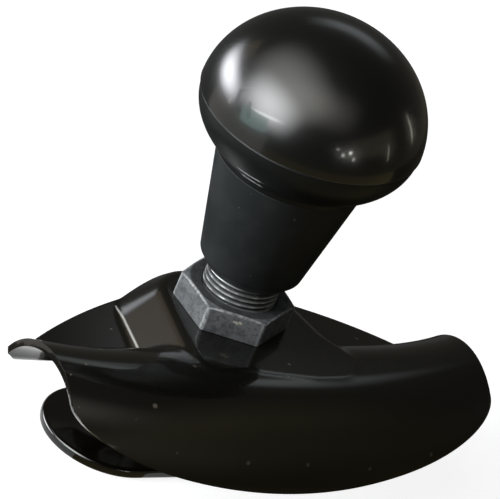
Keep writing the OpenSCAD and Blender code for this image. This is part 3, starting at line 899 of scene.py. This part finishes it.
nut_steel = Paint(
    "nut_steel_worn", (0.205, 0.212, 0.220), 0.50, Metallic=0.1, Specular_IOR_Level=0.1)
stains = ((nut_steel.noise(260.0, 5.0, 0.65) - 0.46) * 5.0).held(0.7)
nut_steel.tone(stains, (0.110, 0.114, 0.118))
nut_steel.tone(nut_steel.group(scratches, Scale=180.0, Share=0.3, Width=0.00006), (0.40, 0.41, 0.43))
nut_x, nut_y, nut_z = nut_steel.place_mm()
# The top face is painted darker: painted shade, patchy by a noise.
top_face = ((nut_z - nut_high) / 0.12 + 1.2).held()
nut_steel.tone(top_face * (nut_steel.noise(330.0, 4.0) + 0.35).low(0.92), (0.038, 0.040, 0.042))
flat_reach = nut_x.size()
for side in (0.866, -0.866):
    flat_reach = flat_reach.high((nut_x * 0.5 + nut_y * side).size())
corner_reach = (nut_x * nut_x + nut_y * nut_y).root()
near_top = ((nut_z - nut_high + 0.75) / 0.3).held()
top_edge = ((flat_reach - EDGE_REACH) / 0.2).held() * near_top
corner_edge = ((corner_reach - CORNER_REACH) / 0.25).held()
# The top edges and corners are painted pale: a painted highlight, broken up by a noise.
edge_highlight = top_edge.high(corner_edge) * (nut_steel.noise(420.0) * 1.6 - 0.1).held()
nut_steel.tone(edge_highlight * 0.85, (0.60, 0.61, 0.62))
chip_x, chip_y, chip_z = nut_x - CHIP[0], nut_y - CHIP[1], (nut_z - CHIP[2]) * CHIP_FLATNESS
chip = (CHIP_R - (chip_x * chip_x + chip_y * chip_y + chip_z * chip_z).root()).held()
nut_steel.tone((chip * nut_steel.noise(800.0) * 3.0 - 0.7).held(), (0.85, 0.80, 0.68))
grain = ((nut_steel.noise(1100.0, 3.0) - 0.5) * 5.0).held(0.6)
nut_steel.tone(grain, (0.085, 0.088, 0.092))
nut_steel.roughen((nut_steel.noise(150.0) - 0.5) * 0.3)
nut_steel.relief((nut_steel.noise(700.0, 4.0) - 0.5) * 0.6)
nut_paint = nut_steel.done()
nut = hexagon_nut(
    "lock_nut_steel", NUT_FLATS, nut_low, nut_high, THREAD_R + 0.05, nut_paint,
    NUT_FACE, NUT_BREAK, NUT_TURN)
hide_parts("lock_nut")
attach(nut, "nut")


# Neck: a tapered sleeve turned from black acetal, screwed up into the head. Its
# bore holds the bush, the bearing and the circlip. In the photograph its foot
# ends a little above the frame's.
neck_low, neck_high = (corner.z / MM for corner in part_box("neck_sleeve"))
FOOT_LIFT = 1.2
neck_low = neck_low + FOOT_LIFT
NECK_R0, NECK_R1, NECK_R2 = 11.4, 13.9, 20.2
NECK_CHAMFER, SPIGOT_L, SPIGOT_R = 2.9, 8.0, 16.0
neck_top = neck_high - SPIGOT_L
BORE_R, CLIP_GROOVE, LEDGE_R, INNER_R = 14.0, 0.7, 12.5, 8.0
SKIRT_R, BUSH_R = 10.5, 9.05
clip_low, clip_high = (corner.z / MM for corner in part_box("circlip"))
bush_low, bush_high = (corner.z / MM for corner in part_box("guide_bush"))

matte = Paint("neck_matte", (0.0130, 0.0155, 0.0170), 0.52, Specular_IOR_Level=0.17)
matte.tone(matte.group(dust, Scale=700.0, Share=0.14) * 0.9, (0.24, 0.24, 0.22))
matte.tone(((matte.noise(60.0, 4.0) - 0.5) * 4.0).held(0.35), (0.035, 0.037, 0.036))
matte.roughen((matte.noise(120.0) - 0.5) * 0.2)
matte.relief((matte.noise(1500.0, 2.0) - 0.5) * 0.8)
neck_paint = matte.done()
neck = lathed("neck", rounded([
    (SKIRT_R, neck_low, 0), (NECK_R0, neck_low, 0.4), (NECK_R1, neck_low + NECK_CHAMFER, 1.6),
    (NECK_R2, neck_top, 0.3), (SPIGOT_R, neck_top, 0), (SPIGOT_R, neck_high, 0), (BORE_R, neck_high, 0),
    (BORE_R, clip_high, 0), (BORE_R + CLIP_GROOVE, clip_high, 0), (BORE_R + CLIP_GROOVE, clip_low, 0),
    (BORE_R, clip_low, 0), (BORE_R, bearing_low, 0), (LEDGE_R, bearing_low, 0),
    (LEDGE_R, bearing_low - 1, 0), (INNER_R, bearing_low - 1, 0), (INNER_R, bush_high, 0),
    (BUSH_R, bush_high, 0), (BUSH_R, bush_low, 0), (SKIRT_R, bush_low, 0), (SKIRT_R, neck_low, 0)])[:-1],
    neck_paint)
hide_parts("neck_sleeve")
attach(neck, "knob")


# Head shell: the satin underside of the mushroom, moulded in black nylon, with
# three short ribs painted pale as a painted highlight. It stands a hair inside the cap's rim, so the
# parting line shows as a fine edge.
def oval_arc(across, tall, start, end, steps):
    """Points of an oval about the parting line's height, between two angles."""
    turns = [start + (end - start) * k / steps for k in range(steps + 1)]
    return [(across * math.cos(a), part_z + tall * math.sin(a)) for a in turns]


head_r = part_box("dome_cap")[1].x / MM
dome_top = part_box("dome_cap")[1].z / MM
HEAD_WALL, BELLY, STEP, LIP = 3.0, 19.0, 0.4, 4.0
HUB_R = SPIGOT_R + 0.05
part_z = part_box("dome_cap")[0].z / MM + LIP
LIP_WALL = HEAD_WALL * 0.42
rebate_r = head_r - HEAD_WALL + LIP_WALL + 0.15
rebate_z = part_z - LIP - 0.3
belly_in = BELLY - HEAD_WALL
shell_r = head_r - STEP

satin = Paint("shell_satin", (0.0070, 0.0088, 0.0092), 0.38, Specular_IOR_Level=0.2)
satin.tone(satin.group(dust, Scale=850.0, Share=0.04, Seed=2.0) * 0.4, (0.16, 0.16, 0.15))
satin.roughen((satin.noise(90.0) - 0.5) * 0.18)
satin.relief((satin.noise(1100.0, 2.0) - 0.5) * 0.35)
shell_paint = satin.done()
inside_low = math.acos((SPIGOT_R + HEAD_WALL) / (head_r - HEAD_WALL))
shell_line = (
    [(rebate_r, rebate_z)]
    + oval_arc(head_r - HEAD_WALL, belly_in, -math.asin((part_z - rebate_z) / belly_in), -inside_low, 24)
    + [(SPIGOT_R + HEAD_WALL, neck_top + SPIGOT_L), (HUB_R, neck_top + SPIGOT_L),
       (HUB_R, neck_top), (NECK_R2, neck_top)]
    + oval_arc(shell_r, BELLY, -math.acos(NECK_R2 / shell_r), -0.02, 48)[1:]
    + [(shell_r - 0.25, part_z), (rebate_r, part_z)])
RIB_TURNS, RIB_HEIGHTS = (-69.0, -50.0), (1.3, 3.4, 6.0)
RIB_ACROSS, RIB_PROUD = 0.26, 0.22


def rib(height, steps=20):
    """A short moulded rib round the shell, tapered to a point at both ends."""
    z = neck_top + height
    radius = shell_r * math.cos(math.asin((part_z - z) / BELLY))
    rings = []
    for k in range(steps + 1):
        place = bearing(RIB_TURNS[0] + (RIB_TURNS[1] - RIB_TURNS[0]) * k / steps, 0)
        full = min(1.0, k / 3, (steps - k) / 3)
        ring = []
        for j in range(8):
            a = math.pi * j / 4
            out = radius + RIB_PROUD * full * math.cos(a)
            ring.append((place.x * out, place.y * out, z + RIB_ACROSS * full * math.sin(a)))
        rings.append(ring if full > 0 else ring[:1])
    return skin("rib", rings, rib_paint, closed=False)


# The ribs' pale colour is a painted highlight, patchy by a noise.
rib_highlight = Paint("rib_painted_highlight", (0.085, 0.088, 0.090), 0.30)
rib_highlight.tone((rib_highlight.noise(700.0, 3.0) * 2.4 - 1.0).held(), (0.30, 0.31, 0.315))
rib_highlight.roughen((rib_highlight.noise(500.0) - 0.5) * 0.2)
rib_paint = rib_highlight.done()
ribs = as_one("shell_ribs", *[rib(height) for height in RIB_HEIGHTS])
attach(ribs, "knob")
shell = lathed("shell", shell_line, shell_paint)
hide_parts("head_shell")
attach(shell, "knob")


# Dome cap: the gloss black cap moulded on its own and snapped into the shell, with
# fine rub marks from palms.
gloss = Paint(
    "cap_gloss", (0.0050, 0.0055, 0.0052), 0.25, Specular_IOR_Level=0.38,
    Coat_Weight=0.4, Coat_Roughness=0.05)
gloss.tone(gloss.group(dust, Scale=600.0, Share=0.02, Seed=4.0) * 0.25, (0.14, 0.14, 0.13))
gloss.roughen((gloss.noise(30.0) - 0.5) * 0.06)
gloss.roughen(gloss.group(scratches, Scale=75.0, Share=0.4, Seed=5.0) * 0.25)
gloss.relief((gloss.noise(120.0, 1.0) - 0.5) * 0.12)
# A pale band along the parting line is a painted highlight, patchy by a noise.
from_rim = (gloss.place_mm()[2] - part_z - 0.1).size()
gloss.tone((1.0 - from_rim / 0.35).high(0.0) * (gloss.noise(150.0) + 0.3).low(1.0), (0.16, 0.16, 0.165))
cap_paint = gloss.done()
dome = dome_top - part_z
cap_line = (
    oval_arc(head_r - HEAD_WALL, dome - HEAD_WALL, math.pi / 2, 0.0, 40)
    + [(head_r - HEAD_WALL, part_z - LIP), (head_r - HEAD_WALL + LIP_WALL, part_z - LIP),
       (head_r - HEAD_WALL + LIP_WALL, part_z), (head_r - 0.4, part_z),
       (head_r - 0.18, part_z + 0.06), (head_r - 0.05, part_z + 0.2)]
    + oval_arc(head_r, dome, 0.4 / dome, math.pi / 2, 80))
cap_line[0] = (0.0, cap_line[0][1])
cap_line[-1] = (0.0, cap_line[-1][1])
cap = lathed("cap", cap_line, cap_paint, 224)
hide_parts("dome_cap")
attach(cap, "knob")


# Inner pieces, in the order they go on: the bush and felt seal in the neck's foot,
# the ball bearing with its cage, seals and circlip, and the washer and nut on the
# stud's end. All are bought parts, held by fit. They keep the frame's own shapes.
def dressed(node, paint):
    """Gives a piece that keeps the frame's shape its paint."""
    piece = nodes[node]
    piece.data.materials.clear()
    piece.data.materials.append(paint)


def turned(name, colour, roughness, marks, **fixed):
    """A turned or ground part: fine rings about the stud, stains and a few scratches."""
    paint = Paint(name, colour, roughness, **fixed)
    paint.tone((paint.noise(220.0, 4.0) * 1.8 - 0.9).held(0.6), [c * marks for c in colour])
    paint.roughen((paint.noise(900.0, 2.0, stretch=(0.05, 0.05, 6.0)) - 0.5) * 0.25)
    paint.roughen(paint.group(scratches, Scale=260.0, Share=0.5, Width=0.00003) * 0.25)
    paint.relief((paint.noise(1400.0, 2.0, stretch=(0.03, 0.03, 4.0)) - 0.5) * 0.5)
    return paint.done(0.00001)


bronze_paint = turned("bush_sintered_bronze", (0.33, 0.19, 0.085), 0.42, 0.45, Metallic=0.9)
dressed("guide_bush", bronze_paint)
felt = Paint("felt_grey", (0.115, 0.108, 0.098), 0.95, Sheen_Weight=0.4)
felt.tone((felt.noise(1800.0, 5.0, 0.7) * 2.0 - 0.8).held(), (0.050, 0.046, 0.041))
felt.tone(felt.group(dust, Scale=1500.0, Share=0.2) * 0.6, (0.20, 0.19, 0.17))
felt.relief((felt.noise(2600.0, 5.0, 0.7) - 0.5) * 2.0)
dressed("dust_seal", felt.done(0.0001))
race_paint = turned("race_ground_steel", (0.52, 0.53, 0.54), 0.22, 0.7, Metallic=1.0)
dressed("bearing_inner_race", race_paint)
dressed("bearing_outer_race", race_paint)
ball_paint = turned("ball_steel_polished", (0.62, 0.63, 0.64), 0.10, 0.85, Metallic=1.0)
dressed("bearing_balls", ball_paint)
brass_paint = turned("cage_pressed_brass", (0.55, 0.38, 0.13), 0.34, 0.6, Metallic=1.0)
dressed("bearing_cage", brass_paint)
rubber = Paint("seal_rubber_black", (0.012, 0.012, 0.013), 0.62)
rubber.tone((rubber.noise(300.0, 4.0) * 1.6 - 0.8).held(0.5), (0.030, 0.029, 0.028))
rubber.tone(rubber.group(dust, Scale=1200.0, Share=0.08) * 0.5, (0.10, 0.10, 0.09))
rubber.relief((rubber.noise(1600.0, 3.0) - 0.5) * 0.8)
seal_paint = rubber.done()
dressed("bearing_upper_seal", seal_paint)
dressed("bearing_lower_seal", seal_paint)
dressed("circlip", turned("clip_phosphated", (0.060, 0.061, 0.063), 0.45, 0.5, Metallic=0.6))
zinc_paint = turned("washer_zinc", (0.42, 0.43, 0.42), 0.34, 0.65, Metallic=0.9)
dressed("end_washer", zinc_paint)
dressed("end_nut", zinc_paint)
insert = Paint("insert_nylon", (0.60, 0.57, 0.46), 0.46)
insert.tone((insert.noise(420.0, 3.0) * 1.6 - 0.8).held(0.4), (0.44, 0.40, 0.30))
insert.relief((insert.noise(1500.0, 2.0) - 0.5) * 0.4)
dressed("nut_insert", insert.done())
